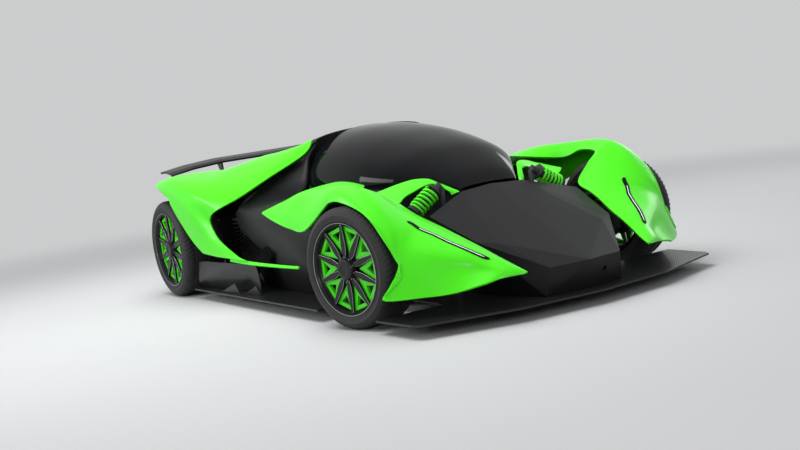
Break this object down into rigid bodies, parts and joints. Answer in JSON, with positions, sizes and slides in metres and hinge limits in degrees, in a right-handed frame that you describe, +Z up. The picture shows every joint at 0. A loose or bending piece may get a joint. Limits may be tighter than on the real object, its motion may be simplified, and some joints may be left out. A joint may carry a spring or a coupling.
{
  "type": "sports car",
  "caption": "Low two-seat sports car with pointed fender blades standing clear of the nose, open coil springs, a dark glass canopy, bowed rear quarters, a tail wing and a flat floor.",
  "frame": {"origin": "centre of the bounding box, on the ground under the tyres", "axes": "+Z up, nose toward -Y, +X toward the car's left side"},
  "size_m": [2.2442, 4.126, 1.08],
  "materials": {
    "green_paint": "high gloss",
    "black_paint": "satin",
    "carbon": "semi gloss woven carbon",
    "dark_glass": "tinted, polished",
    "red_lens": "clear red",
    "clear_lens": "clear",
    "cabin_trim": "soft grain",
    "seat_leather": "fine grain",
    "grip": "smooth",
    "cast_alloy": "cast",
    "arm_steel": "black powder coat",
    "damper_alloy": "machined",
    "spring_steel": "gloss lacquer",
    "tyre_rubber": "matt",
    "green_rim": "gloss",
    "black_spokes": "gloss"
  },
  "bodies": {
    "body": {"floor_plate": "carbon", "diffuser": "carbon", "side_fins": "carbon", "nose": "black_paint", "fender_left": "green_paint", "fender_right": "green_paint", "cowl_panels": "green_paint", "canopy_hinges": "arm_steel", "pod_left": "black_paint", "pod_right": "black_paint", "quarter_left": "green_paint", "quarter_right": "green_paint", "engine_cover": "black_paint", "tail_panel": "black_paint", "tail_lamps": "red_lens", "headlamps": "clear_lens", "rear_wing": "carbon", "tub": "cabin_trim", "seats": "seat_leather", "dashboard": "cabin_trim", "steering_wheel": "grip", "engine_block": "cast_alloy", "front_arms": "arm_steel", "rear_arms": "arm_steel", "dampers": "damper_alloy", "springs": "spring_steel", "rear_uprights": "cast_alloy"},
    "canopy": {"canopy_glass": "dark_glass", "canopy_frame": "black_paint"},
    "knuckle_l": {"knuckle_left": "cast_alloy"},
    "knuckle_r": {"knuckle_right": "cast_alloy"},
    "wheel_fl": {"tyre_fl": "tyre_rubber", "rim_fl": "green_rim", "spokes_fl": "black_spokes"},
    "wheel_fr": {"tyre_fr": "tyre_rubber", "rim_fr": "green_rim", "spokes_fr": "black_spokes"},
    "wheel_rl": {"tyre_rl": "tyre_rubber", "rim_rl": "green_rim", "spokes_rl": "black_spokes"},
    "wheel_rr": {"tyre_rr": "tyre_rubber", "rim_rr": "green_rim", "spokes_rr": "black_spokes"}
  },
  "joints": [
    {"name": "canopy_hinge", "type": "hinge", "parent": "body", "child": "canopy", "pos_m": [0, -1.275, 0.535], "axis": [1, 0, 0], "range_deg": [0, 50]},
    {"name": "steer_left", "type": "hinge", "parent": "body", "child": "knuckle_l", "pos_m": [0.885, -1.135, 0.342], "axis": [0, 0, 1], "range_deg": [-42.7, 17.3]},
    {"name": "steer_right", "type": "hinge", "parent": "body", "child": "knuckle_r", "pos_m": [-0.885, -1.135, 0.342], "axis": [0, 0, 1], "range_deg": [-42.7, 17.3]},
    {"name": "wheel_fl_spin", "type": "hinge", "parent": "knuckle_l", "child": "wheel_fl", "pos_m": [0.92402, -1.12621, 0.342], "axis": [0.9755, 0.2199, 0], "continuous": true},
    {"name": "wheel_fr_spin", "type": "hinge", "parent": "knuckle_r", "child": "wheel_fr", "pos_m": [-0.92402, -1.14379, 0.342], "axis": [0.9755, 0.2199, 0], "continuous": true},
    {"name": "wheel_rl_spin", "type": "hinge", "parent": "body", "child": "wheel_rl", "pos_m": [0.912, 1.625, 0.358], "axis": [1, 0, 0], "continuous": true},
    {"name": "wheel_rr_spin", "type": "hinge", "parent": "body", "child": "wheel_rr", "pos_m": [-0.912, 1.625, 0.358], "axis": [1, 0, 0], "continuous": true}
  ],
  "couplings": [
    {"joint": "steer_right", "follows": "steer_left", "ratio": 1}
  ]
}
